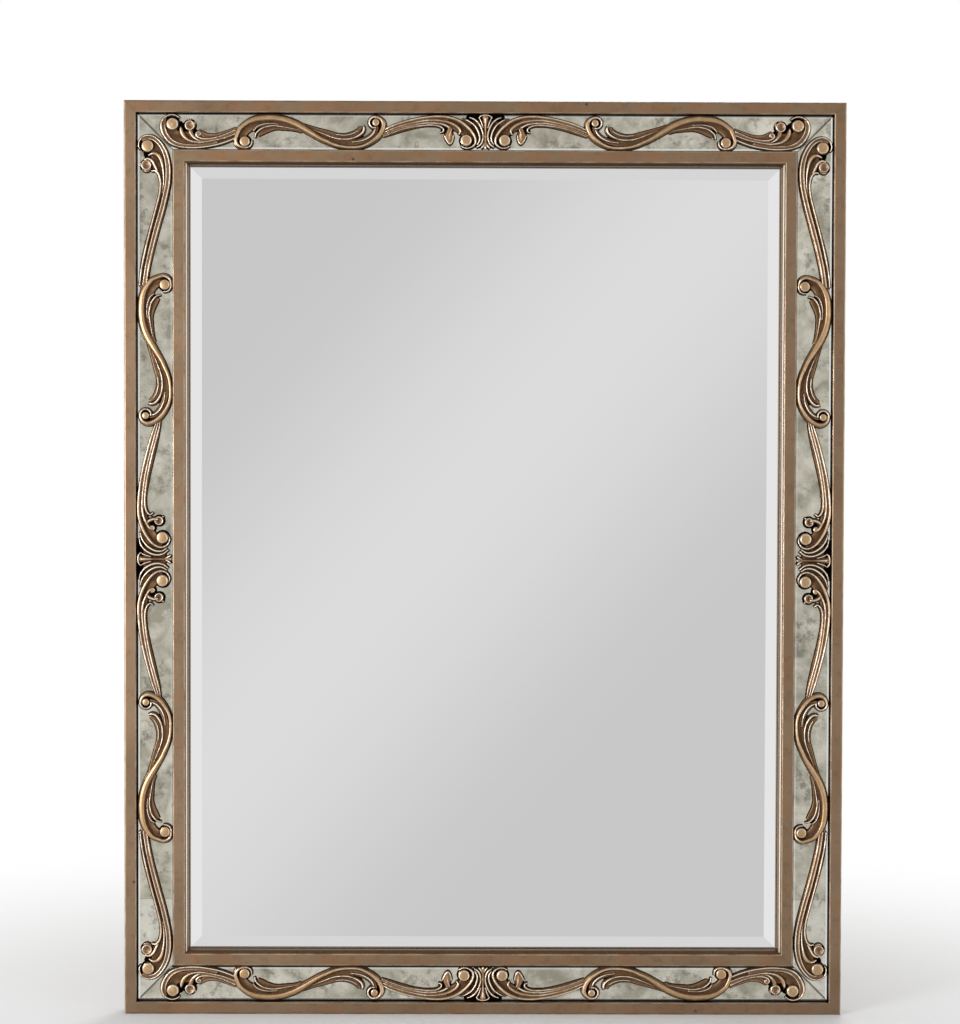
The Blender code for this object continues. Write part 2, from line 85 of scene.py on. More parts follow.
class Graph:
    """Short calls that add nodes to a tree and wire them up."""

    def __init__(self, tree):
        self.tree = tree
        self.tree.nodes.clear()

    def node(self, kind, inputs=None, **settings):
        made = self.tree.nodes.new(kind)
        for key, value in settings.items():
            setattr(made, key, value)
        for key, value in (inputs or {}).items():
            self.put(made.inputs[key], value)
        return made

    def put(self, socket, value):
        if isinstance(value, bpy.types.NodeSocket):
            self.tree.links.new(value, socket)
        elif isinstance(value, tuple) and len(value) == 3 and socket.type == "RGBA":
            socket.default_value = (*value, 1)
        else:
            socket.default_value = value

    def math(self, operation, *values, clamp=False):
        made = self.node("ShaderNodeMath", operation=operation, use_clamp=clamp)
        for i, value in enumerate(values):
            self.put(made.inputs[i], value)
        return made.outputs[0]

    def noise(self, vector, scale, detail=4.0, roughness=0.5, distortion=0.0):
        made = self.node("ShaderNodeTexNoise", {"Vector": vector, "Scale": scale, "Detail": detail,
                                                "Roughness": roughness, "Distortion": distortion})
        return made.outputs["Fac"]

    def cells(self, vector, scale):
        """The distance to the nearest of many scattered points."""
        return self.node("ShaderNodeTexVoronoi", {"Vector": vector, "Scale": scale}).outputs["Distance"]

    def ramp(self, value, *stops):
        """A colour or grey ramp through (position, colour) stops."""
        made = self.node("ShaderNodeValToRGB", {"Fac": value})
        elements = made.color_ramp.elements
        while len(elements) < len(stops):
            elements.new(0.5)
        for element, (position, colour) in zip(elements, stops):
            element.position = position
            if isinstance(colour, tuple):
                element.color = (*colour, 1)
            else:
                element.color = (colour, colour, colour, 1)
        return made.outputs["Color"]

    def mix(self, factor, a, b, blend="MIX"):
        made = self.node("ShaderNodeMix", data_type="RGBA", blend_type=blend, clamp_factor=True)
        self.put(made.inputs[0], factor)
        self.put(made.inputs[6], a)
        self.put(made.inputs[7], b)
        return made.outputs[2]

    def step(self, value, low, high):
        """0 below low, 1 above high, smooth between; low may be the larger one."""
        made = self.node("ShaderNodeMapRange", {"Value": value, "From Min": low, "From Max": high},
                         interpolation_type="SMOOTHSTEP")
        return made.outputs["Result"]

    def band(self, value, start, end, soft):
        """1 between start and end, falling to 0 over soft on both sides."""
        return self.math("MULTIPLY", self.step(value, start - soft, start), self.step(value, end + soft, end))

    def position(self):
        return self.node("ShaderNodeTexCoord").outputs["Object"]

    def stretched(self, vector, scale):
        return self.node("ShaderNodeMapping", {"Vector": vector, "Scale": scale}).outputs["Vector"]

    def bump(self, height, distance, strength=1.0):
        made = self.node("ShaderNodeBump", {"Height": height, "Distance": distance, "Strength": strength})
        return made.outputs["Normal"]

    def surface(self, **inputs):
        """A Principled surface; inputs are its socket names with underscores for spaces."""
        shader = self.node("ShaderNodeBsdfPrincipled", {k.replace("_", " "): v for k, v in inputs.items()})
        output = self.node("ShaderNodeOutputMaterial")
        self.tree.links.new(shader.outputs[0], output.inputs["Surface"])


def new_material(name):
    made = bpy.data.materials.new(name)
    made.use_nodes = True
    return made, Graph(made.node_tree)


def insets(g, position):
    """The distances in from the frame's nearer side edge and from its nearer top or bottom edge, and 1 on the
    left and right members, which are the ones nearer a side edge."""
    parts = g.node("ShaderNodeSeparateXYZ", {"Vector": position}).outputs
    side = g.math("SUBTRACT", WIDTH / 2, g.math("ABSOLUTE", parts["X"]))
    end = g.math("MINIMUM", g.math("SUBTRACT", HEIGHT, parts["Z"]), parts["Z"])
    standing = g.step(g.math("SUBTRACT", end, side), 0.0, 1.0 * MM)
    return side, end, standing


def moulding_paint(arrises, channel, lip):
    """Champagne paint over wood, mottled redder and greener. arrises are insets of rubbed edges, painted
    paler as worn paint and as a painted highlight. Painted shade, nearly black, covers the channel's walls,
    which lie between the two insets in channel. The lip beside the glass, past the inset lip, is smoother,
    with painted shade where it faces up or down and a pale painted highlight where it faces sideways.
    Towards the bottom the paint is darkened as painted shade."""
    made, g = new_material("moulding_paint")
    place = g.position()
    side, end, standing = insets(g, place)
    inset = g.math("MINIMUM", side, end)
    parts = g.node("ShaderNodeSeparateXYZ", {"Vector": place}).outputs
    # the paint itself, mottled and streaked
    clouds = g.noise(place, 9.0, 5.0, 0.6)
    streaks = g.noise(place, 90.0, 3.0, 0.6)
    reddish = g.ramp(clouds, (0.3, (0.217, 0.111, 0.049)), (0.7, (0.271, 0.148, 0.071)))
    greenish = g.ramp(clouds, (0.3, (0.198, 0.122, 0.064)), (0.7, (0.247, 0.16, 0.091)))
    mottle = g.step(g.noise(place, 38.0, 4.0, 0.65), 0.4, 0.6)
    paint = g.mix(g.math("MULTIPLY_ADD", standing, 0.5, mottle, clamp=True), reddish, greenish)
    paint = g.mix(g.math("MULTIPLY", g.step(streaks, 0.5, 0.72), 0.4), paint, (0.13, 0.07, 0.034))
    # rubbed edges: worn paint and a painted highlight along each arris
    wobble = g.noise(place, 45.0, 4.0, 0.6)
    for arris in arrises:
        edge = g.band(inset, arris - 0.5 * MM, arris + 0.5 * MM, 0.7 * MM)
        edge_wear_and_highlight = g.math("MULTIPLY", edge, g.step(wobble, 0.35, 0.65))
        paint = g.mix(g.math("MULTIPLY", edge_wear_and_highlight, 0.6), paint, (0.5, 0.38, 0.26))
    # painted shade, nearly black, on the channel's walls, then painted shade on the lip where it faces up or
    # down
    sunk = g.step(parts["Y"], FACE_DEPTH + 1.0 * MM, FACE_DEPTH + 2.6 * MM)
    walls = g.math("MULTIPLY", sunk, g.band(inset, *channel, 0.4 * MM))
    paint = g.mix(g.math("MULTIPLY", walls, 0.96), paint, (0.014, 0.007, 0.003))
    bead = g.math("MULTIPLY", sunk, g.step(inset, lip - 0.2 * MM, lip + 0.2 * MM))
    facing = g.node("ShaderNodeNewGeometry").outputs["Normal"]
    normal = g.node("ShaderNodeSeparateXYZ", {"Vector": facing}).outputs
    # painted shade on the lip, set by which way it faces: darker facing down, less facing up
    painted_facing_shade = g.math("ADD", g.math("MULTIPLY", g.step(normal["Z"], -0.1, -0.5), 0.75),
                   g.math("MULTIPLY", g.step(normal["Z"], 0.1, 0.5), 0.45))
    paint = g.mix(g.math("MULTIPLY", bead, painted_facing_shade), paint, (0.07, 0.034, 0.016))
    # a pale painted highlight along the lip where it faces sideways
    sideways = g.step(g.math("ABSOLUTE", normal["X"]), 0.1, 0.3)
    edge_wear_and_highlight = g.math("MULTIPLY", g.band(inset, lip + 1.2 * MM, lip + 2.0 * MM, 0.5 * MM), sideways)
    paint = g.mix(g.math("MULTIPLY", edge_wear_and_highlight, 0.9), paint, (0.8, 0.74, 0.64))
    # dark specks, in a few places, and painted shade that darkens the paint towards the bottom
    dots = g.cells(place, 24.0)
    ragged = g.math("MULTIPLY", g.noise(place, 400.0, 2.0), 0.05)
    specks = g.step(g.math("ADD", dots, ragged), 0.09, 0.06)
    few = g.step(g.noise(place, 5.0, 1.0), 0.46, 0.52)
    paint = g.mix(g.math("MULTIPLY", specks, g.math("MULTIPLY", few, 0.85)), paint, (0.05, 0.025, 0.012))
    paint = g.mix(g.math("MULTIPLY", g.step(parts["Z"], 0.1, 0.04), 0.2), paint, (0.05, 0.026, 0.012))
    fine = g.noise(place, 700.0, 2.0, 0.6)
    rough = g.mix(bead, g.ramp(clouds, (0.3, 0.36), (0.75, 0.46)), (0.24, 0.24, 0.24))
    coat = g.math("MULTIPLY_ADD", bead, -0.35, 0.35)
    g.surface(Base_Color=paint, Metallic=0.6, Roughness=rough, Coat_Weight=coat, Coat_Roughness=0.3,
              Normal=g.bump(fine, 0.05 * MM, 0.5))
    return made


def ornament_gilt():
    """Antique gold on the castings: pale edges, rubbed and partly a painted highlight, brown hollows, a foot
    and low fills painted near-black as shade, partly dark glaze, and yellow eyes.
    """
    made, g = new_material("ornament_gilt")
    place = g.position()
    height, edge, form, eye = (g.node("ShaderNodeAttribute", attribute_name=name).outputs["Fac"]
                               for name in ("relief_height", "relief_edge", "relief_form", "relief_eye"))
    patchy = g.math("SUBTRACT", g.noise(place, 160.0, 4.0, 0.6), 0.5)
    shape = g.math("ADD", g.math("MULTIPLY", form, 0.3), g.math("MULTIPLY_ADD", height, 0.06, 0.08))
    lift = g.math("ADD", shape, g.math("MULTIPLY", patchy, 0.3))
    gold = g.ramp(lift, (0.0, (0.028, 0.014, 0.007)), (0.2, (0.13, 0.07, 0.036)),
                  (0.5, (0.265, 0.152, 0.077)), (0.74, (0.42, 0.262, 0.135)), (1.0, (0.6, 0.41, 0.23)))
    gold = g.mix(g.math("MULTIPLY", eye, 0.85), gold, (0.46, 0.285, 0.135))
    # rubbed gold on raised edges, which also serves as a painted highlight
    wear_and_highlight = g.step(g.math("ADD", edge, g.math("MULTIPLY", patchy, 0.1)), 0.09, 0.25)
    gold = g.mix(g.math("MULTIPLY", wear_and_highlight, g.step(height, 3.0, 6.0)), gold, (0.93, 0.84, 0.7))
    # painted shade: near-black on the low foot, eye rings and fills, partly dark glaze
    gold = g.mix(g.step(height, 1.9, 1.3), gold, (0.004, 0.002, 0.001))
    metal = g.math("MULTIPLY", g.step(lift, 0.1, 0.45), g.math("MULTIPLY", g.step(height, 1.2, 2.6), 0.75))
    rough = g.ramp(lift, (0.2, 0.5), (0.8, 0.34))
    grain = g.noise(place, 900.0, 3.0, 0.7)
    shine = g.math("MULTIPLY", g.step(height, 3.5, 7.5), 0.8)
    g.surface(Base_Color=gold, Metallic=metal, Roughness=rough, Specular_IOR_Level=shine,
              Normal=g.bump(grain, 0.08 * MM, 0.6))
    return made


def antiqued_mirror(name, edges, tarnished, silvered):
    """Old-looking mirror glass, clouded between two tones, with soft dark clusters and pale patches. Its long
    edges carry a painted highlight on their ground bevels and painted shade outside it, and its mitred ends
    are tarnished. edges are the insets of its two long edges."""
    made, g = new_material(name)
    place = g.position()
    side, end, standing = insets(g, place)
    inset = g.math("MINIMUM", side, end)
    # clouds, dark clusters and pale patches
    clouds = g.noise(place, 26.0, 6.0, 0.62, 0.4)
    silver = g.ramp(clouds, (0.36, tarnished), (0.64, silvered))
    clusters = g.step(g.noise(place, 85.0, 5.0, 0.7), 0.48, 0.64)
    foxed = g.math("MULTIPLY", clusters, g.step(g.noise(place, 24.0, 3.0), 0.44, 0.56))
    silver = g.mix(g.math("MULTIPLY", foxed, 0.62), silver, tuple(0.42 * tone for tone in tarnished))
    pale = g.step(g.noise(place, 48.0, 4.0, 0.6), 0.58, 0.74)
    silver = g.mix(g.math("MULTIPLY", pale, 0.55), silver, (0.84, 0.82, 0.74))
    # tarnished mitres
    mitre = g.step(g.math("ABSOLUTE", g.math("SUBTRACT", side, end)), 2.6 * MM, 0.8 * MM)
    silver = g.mix(g.math("MULTIPLY", mitre, 0.8), silver, (0.07, 0.07, 0.06))
    # painted highlights on the ground long edges, normals turned forward, and painted shade outside them;
    # the shade is wider on the bottom strip's inner edge
    level = g.node("ShaderNodeSeparateXYZ", {"Vector": place}).outputs["Z"]
    bottom = g.math("MULTIPLY", g.step(level, 0.12, 0.1), g.math("SUBTRACT", 1.0, standing))
    outer = g.band(inset, edges[0] + 1.5 * MM, edges[0] + 3.7 * MM, 0.3 * MM)
    shade_inset = g.math("MULTIPLY_ADD", bottom, 2.6 * MM, inset)
    inner = g.band(shade_inset, edges[1] - 3.7 * MM, edges[1] - 1.5 * MM, 0.3 * MM)
    inner = g.math("MULTIPLY", inner, g.math("MULTIPLY_ADD", bottom, -0.45, 1.0))
    bevel_highlight = g.math("ADD", g.math("MULTIPLY", outer, g.math("MULTIPLY_ADD", standing, 0.4, 0.5)),
                    g.math("MULTIPLY", inner, g.math("MULTIPLY_ADD", standing, -0.45, 0.75)))
    silver = g.mix(bevel_highlight, silver, (0.98, 0.98, 0.95))
    tilt = g.node("ShaderNodeMix", data_type="VECTOR")
    g.put(tilt.inputs[0], bevel_highlight)
    g.put(tilt.inputs[4], g.node("ShaderNodeNewGeometry").outputs["Normal"])
    tilt.inputs[5].default_value = (0, -1, 0)
    # painted shade: near-black where the channel's walls shade the glass and show in it
    edge_shade = g.math("MAXIMUM", g.step(inset, edges[0] + 1.4 * MM, edges[0] + 1.1 * MM),
                    g.step(shade_inset, edges[1] - 1.4 * MM, edges[1] - 1.1 * MM))
    silver = g.mix(g.math("MULTIPLY", edge_shade, 0.95), silver, (0.01, 0.008, 0.006))
    g.surface(Base_Color=silver, Metallic=0.95, Roughness=g.ramp(clouds, (0.3, 0.24), (0.7, 0.14)),
              Normal=tilt.outputs[1])
    return made


def clear_mirror():
    made, g = new_material("clear_mirror")
    haze = g.noise(g.position(), 3.0, 2.0)
    rough = g.ramp(haze, (0.3, 0.008), (0.7, 0.014))
    g.surface(Base_Color=(0.93, 0.935, 0.93), Metallic=1.0, Roughness=rough)
    return made


def fibreboard():
    made, g = new_material("fibreboard")
    place = g.position()
    fibre = g.noise(place, 900.0, 4.0, 0.7)
    clouds = g.noise(place, 12.0, 4.0)
    tone = g.ramp(clouds, (0.3, (0.33, 0.225, 0.13)), (0.7, (0.4, 0.285, 0.175)))
    tone = g.mix(g.math("MULTIPLY", g.step(fibre, 0.45, 0.7), 0.3), tone, (0.52, 0.4, 0.27))
    g.surface(Base_Color=tone, Roughness=0.85, Normal=g.bump(fibre, 0.1 * MM))
    return made


def hardboard():
    made, g = new_material("hardboard")
    place = g.position()
    mesh = g.noise(place, 420.0, 3.0, 0.7)
    clouds = g.noise(place, 7.0, 5.0, 0.6)
    tone = g.ramp(clouds, (0.3, (0.14, 0.075, 0.038)), (0.7, (0.19, 0.108, 0.058)))
    tone = g.mix(g.math("MULTIPLY", g.step(mesh, 0.5, 0.75), 0.35), tone, (0.28, 0.17, 0.1))
    g.surface(Base_Color=tone, Roughness=0.72, Normal=g.bump(mesh, 0.12 * MM))
    return made


def pine():
    made, g = new_material("pine")
    place = g.position()
    grain = g.noise(g.stretched(place, (90.0, 90.0, 5.0)), 1.0, 5.0, 0.55, 1.2)
    tone = g.ramp(grain, (0.35, (0.46, 0.29, 0.14)), (0.5, (0.62, 0.43, 0.24)), (0.65, (0.7, 0.52, 0.31)))
    g.surface(Base_Color=tone, Roughness=0.7, Normal=g.bump(grain, 0.15 * MM))
    return made


def foam():
    made, g = new_material("foam")
    cells = g.cells(g.position(), 800.0)
    g.surface(Base_Color=(0.78, 0.78, 0.76), Roughness=0.95, Normal=g.bump(cells, 0.2 * MM))
    return made


def zinc():
    made, g = new_material("zinc_plate")
    place = g.position()
    smear = g.noise(place, 240.0, 4.0, 0.6)
    tone = g.ramp(smear, (0.3, (0.42, 0.42, 0.43)), (0.7, (0.6, 0.6, 0.6)))
    g.surface(Base_Color=tone, Metallic=1.0, Roughness=g.ramp(smear, (0.3, 0.38), (0.7, 0.24)))
    return made


# ---------------------------------------------------------------- ornament drawing
# An ornament is drawn in millimetres, through points of (distance along its member, distance out from the
# channel's inner edge, width of the stroke).

CURVE_STEP = 1.3
FOOT = 1.5  # the dark lip round each ornament, painted near-black: partly glaze, partly painted shadow and reflection
FOOT_H = 0.7
EYE_RING = 2.6
VOXEL = 0.6 * MM

# Half of a stroke's section from its edge to its crest: (share of half its width, share of its height)
ROUND = ((1.0, 0.3), (0.97, 0.5), (0.84, 0.74), (0.55, 0.93), (0.0, 1.0))
SLAB = ((1.0, 0.5), (0.97, 0.85), (0.8, 1.0), (0.4, 0.94), (0.0, 0.88))
FLAT = ((1.0, 0.98), (0.5, 1.0), (0.0, 1.0))


def curve_rows(points):
    """Rows along a smooth curve through the points, with the width carried along."""
    rows = np.array(points, float)
    padded = np.vstack([2 * rows[0] - rows[1], rows, 2 * rows[-1] - rows[-2]])
    out = []
    for a, b, c, d in zip(padded, padded[1:], padded[2:], padded[3:]):
        count = max(2, round(math.hypot(*(c - b)[:2]) / CURVE_STEP))
        for t in np.arange(count) / count:
            out.append(0.5 * (2 * b + (c - a) * t + (2 * a - 5 * b + 4 * c - d) * t * t
                              + (3 * b - 3 * c + d - a) * t ** 3))
    out.append(rows[-1])
    return np.array(out)


class Relief:
    """Closed shapes that overlap, fused later into one casting."""

    def __init__(self):
        self.vertices = []
        self.faces = []
        self.eyes = []

    def loft(self, loops):
        """Joins equal loops of points into a closed tube with flat ends."""
        size = len(loops[0])
        start = len(self.vertices)
        for loop in loops:
            self.vertices.extend(loop)
        for i in range(len(loops) - 1):
            here = start + i * size
            for k in range(size):
                n = (k + 1) % size
                self.faces.append((here + k, here + n, here + size + n, here + size + k))
        self.faces.append(tuple(start + k for k in reversed(range(size))))
        last = start + (len(loops) - 1) * size
        self.faces.append(tuple(last + k for k in range(size)))

    def stroke(self, points, height, section=ROUND, lean=(0.0, 0.0)):
        """A raised line along a curve, with rounded ends. A narrow stretch is lower than a wide one. lean
        moves the crest towards the curve's left, as a share of half the width, at the first and last ends."""
        rows = curve_rows(points)
        heading = np.gradient(rows[:, :2], axis=0)
        heading /= np.linalg.norm(heading, axis=1)[:, None]
        tips = []
        for end, way in ((0, -1), (-1, 1)):
            width = rows[end, 2]
            tips.append([np.append(rows[end, :2] + way * heading[end] * width * reach, width * share)
                         for reach, share in ((0.3, 0.72), (0.45, 0.3))])
        rows = np.vstack([tips[0][::-1], rows, tips[1]])
        heading = np.vstack([heading[:1], heading[:1], heading, heading[-1:], heading[-1:]])
        loops = []
        for i, ((along, across, width), (hx, hz)) in enumerate(zip(rows, heading)):
            t = i / (len(rows) - 1)
            offset = (lean[0] + (lean[1] - lean[0]) * t * t * (3 - 2 * t)) * width / 2
            top = min(height, 1.5 * width + 3)
            half = width / 2
            outline = []
            for way in (1, -1):
                side = [(way * (half + FOOT), 0.0), (way * (half + FOOT), FOOT_H)]
                side += [(way * share * half + (1 - share) * offset, max(level * top, FOOT_H))
                         for share, level in section]
                outline += side if way == 1 else side[-2::-1]
            loops.append([(along - hz * s, across + hx * s, h) for s, h in outline])
        self.loft(loops)

    def boss(self, along, across, radius, height, dish=0.0):
        """A round button in a low ring painted near-black as shade. A crowned one is an eye, and a dished one
        a bud.
        """
        if not dish:
            self.eyes.append((along, across, radius))
        rings = [(radius + EYE_RING, 0.0), (radius + EYE_RING, FOOT_H), (radius, FOOT_H),
                 (radius, 0.55 * height), (0.95 * radius, 0.84 * height), (0.84 * radius, 0.96 * height),
                 (0.5 * radius, (1.0 - 0.5 * dish) * height), (0.12 * radius, (1.02 - dish) * height)]
        sides = 40
        turns = [math.tau * k / sides for k in range(sides)]
        self.loft([[(along + r * math.cos(turn), across + r * math.sin(turn), h) for turn in turns]
                   for r, h in rings])

    def casting(self, name):
        """The fused mesh in a member's own frame: X along, Y depth with 0 at the foot, Z across."""
        mesh = bpy.data.meshes.new(name)
        mesh.from_pydata([(a * MM, -h * MM, c * MM) for a, c, h in self.vertices], [], self.faces)
        mesh = modified(mesh, [("REMESH", {"mode": "VOXEL", "voxel_size": VOXEL}),
                               ("SMOOTH", {"factor": 0.5, "iterations": 3}),
                               ("DECIMATE", {"ratio": 0.45})])
        mesh.name = name
        mark_relief(mesh, self.eyes)
        return mesh


def modified(mesh, steps):
    """A new mesh: the given one after a list of (modifier kind, settings)."""
    holder = bpy.data.objects.new("holder", mesh)
    bpy.context.scene.collection.objects.link(holder)
    for kind, settings in steps:
        modifier = holder.modifiers.new(kind.lower(), kind)
        for key, value in settings.items():
            setattr(modifier, key, value)
    graph = bpy.context.evaluated_depsgraph_get()
    made = bpy.data.meshes.new_from_object(holder.evaluated_get(graph), depsgraph=graph)
    bpy.data.objects.remove(holder)
    bpy.data.meshes.remove(mesh)
    return made


def mark_relief(mesh, eyes):
    """Stores each point's height above the foot, how far it stands out from its close and wider surroundings,
    all three in millimetres, and 1 where it lies on one of the eyes, which are (along, across, radius)."""
    count = len(mesh.vertices)
    place = np.empty(count * 3, np.float32)
    mesh.vertices.foreach_get("co", place)
    place = place.reshape(-1, 3) / MM
    normal = np.empty(count * 3, np.float32)
    mesh.vertices.foreach_get("normal", normal)
    normal = normal.reshape(-1, 3)
    ends = np.empty(len(mesh.edges) * 2, np.int32)
    mesh.edges.foreach_get("vertices", ends)
    a, b = ends.reshape(-1, 2).T
    degree = np.bincount(a, minlength=count) + np.bincount(b, minlength=count)
    marks = {"relief_height": -place[:, 1]}
    smooth = place.copy()
    for name, spread in (("relief_edge", 3), ("relief_form", 12)):
        for _ in range(round(spread * (MM / VOXEL) ** 2)):
            total = np.stack([np.bincount(a, smooth[b, k], count) + np.bincount(b, smooth[a, k], count)
                              for k in range(3)], axis=1)
            smooth = 0.5 * smooth + 0.5 * total / degree[:, None]
        marks[name] = ((place - smooth) * normal).sum(axis=1)
    marks["relief_eye"] = np.zeros(count)
    for along, across, radius in eyes:
        reach = np.hypot(place[:, 0] - along, place[:, 2] - across)
        marks["relief_eye"] = np.maximum(marks["relief_eye"], np.clip(0.93 * radius - reach, 0, 1))
    for name, values in marks.items():
        layer = mesh.attributes.new(name, "FLOAT", "POINT")
        layer.data.foreach_set("value", values.astype(np.float32))


CREST_H = 9.4
LEAF_H = 7.8
HOLLOW_H = 4.0
VALLEY_H = 5.6
SHADE_FILL_H = 1.2  # low fill between shapes, painted near-black as shade


def draw_scroll():
    """An S-scroll: a ridged bar between two volutes, with a hollow leaf lying inside each bend."""
    r = Relief()
    r.stroke([(79.4, 13.4, 1.6), (79.8, 8.6, 2), (82, 4.8, 2.4), (85.8, 2.8, 2.7), (90.6, 2.4, 3),
              (95.6, 3.6, 3.9), (99.2, 6.2, 5), (101.4, 10.4, 5.6), (101.4, 15.8, 6.1), (97.2, 26.7, 6.9),
              (93.4, 31.4, 7.3), (87, 36.4, 7.8), (79.5, 40.2, 9), (70.4, 42.6, 9.6), (56.5, 43.6, 9.6),
              (44.4, 43, 9.7), (32.2, 40.6, 10), (18.6, 35.4, 10), (4.6, 27.4, 8.8), (-13.2, 16.4, 6.9),
              (-23.8, 11.4, 6.4), (-33.2, 7.2, 5.9), (-43.4, 4.6, 5.2), (-54.5, 3.5, 4.9),
              (-66.3, 3.9, 4.9), (-75.3, 6.2, 5.3), (-83.9, 10.8, 5.9), (-91.4, 16.5, 6.7),
              (-96.9, 22.8, 7), (-100.3, 29.8, 7.2), (-100.8, 36.2, 6.6), (-97.8, 42, 5.4), (-92, 45, 4.4),
              (-85.6, 44.6, 3.8), (-81.6, 40.4, 3.2), (-81.6, 34.8, 2.8), (-85.4, 30.8, 2.6),
              (-90.4, 30.4, 2.2)], CREST_H, lean=(0.4, -0.3))
    r.boss(89.2, 11.2, 7.2, 8.8)
    r.boss(-90.2, 37.6, 5, 8.2)
    # inside the far bend: the hollow, its vein, the leaf's rim and the leaf's own back
    r.stroke([(92, 12, 9), (91.6, 20, 9), (87.4, 27, 10.5), (80.2, 31.6, 10.5), (70.9, 34.8, 9.5),
              (58, 36.6, 8), (43, 35.6, 6.5), (28, 32, 5), (12, 25.6, 3.4)], HOLLOW_H, SLAB)
    r.stroke([(77, 26, 1.6), (72.3, 31.5, 2), (65, 34.6, 2), (55, 36, 1.6), (44, 35.4, 1.4)], 5.8)
    r.stroke([(75.4, 16.8, 1.8), (73.9, 21.4, 2.4), (70.9, 25.1, 2.7), (66.6, 28.3, 2.7), (60.8, 30.8, 2.5),
              (53.7, 32.3, 2.3), (46.5, 32.5, 2.1), (37, 31.2, 1.8), (22, 28.6, 1.4), (10, 25.6, 1.2)],
             LEAF_H, lean=(-0.4, -0.4))
    r.stroke([(70, 20.4, 3), (64, 24.4, 5.5), (56.4, 28, 5.5), (46, 29.8, 3.8), (34, 29, 3), (22, 27.4, 2),
              (12, 25, 1.2)], 3.4, SLAB)
    # inside the near bend
    r.stroke([(-91, 31, 6), (-88, 24, 7), (-80, 16.4, 8), (-66.3, 11.4, 7.4), (-54.5, 10, 7.2),
              (-42.7, 11, 6.8), (-31.6, 14.1, 6.2), (-20.6, 18.9, 5.4), (-8, 25, 4.6)], HOLLOW_H, SLAB)
    r.stroke([(-89.6, 28.4, 2), (-86.6, 22.6, 3), (-80, 16.8, 3), (-70, 12.6, 2.2), (-58, 11, 1.6)], 6.6)
    r.stroke([(-72.8, 34, 1.8), (-74.2, 29.4, 3.6), (-72.5, 24.4, 3.8), (-67.8, 20.1, 3.4),
              (-61.5, 16.9, 3), (-53.7, 14.9, 2.8), (-45.8, 14.5, 2.6), (-37.9, 15.3, 2.4),
              (-30, 17.4, 2.1), (-21.4, 20.8, 1.8), (-12, 24.6, 1.4), (-4, 28, 1.3), (6, 32, 1.2)], LEAF_H,
             lean=(0.3, 0.3))
    r.stroke([(-69.4, 31, 4), (-65, 25.6, 6.4), (-57, 21.4, 7), (-47, 19.4, 6.8), (-36, 20.4, 6),
              (-23.8, 24.2, 5.2), (-11.2, 28, 4), (-1, 31.4, 3), (8, 34.6, 2), (17, 37.6, 1.2)],
             HOLLOW_H - 0.4, SLAB)
    r.stroke([(-66, 26.6, 1.6), (-58, 22.4, 2), (-48, 20.4, 2), (-37, 21.2, 1.6)], 5.4)
    return r


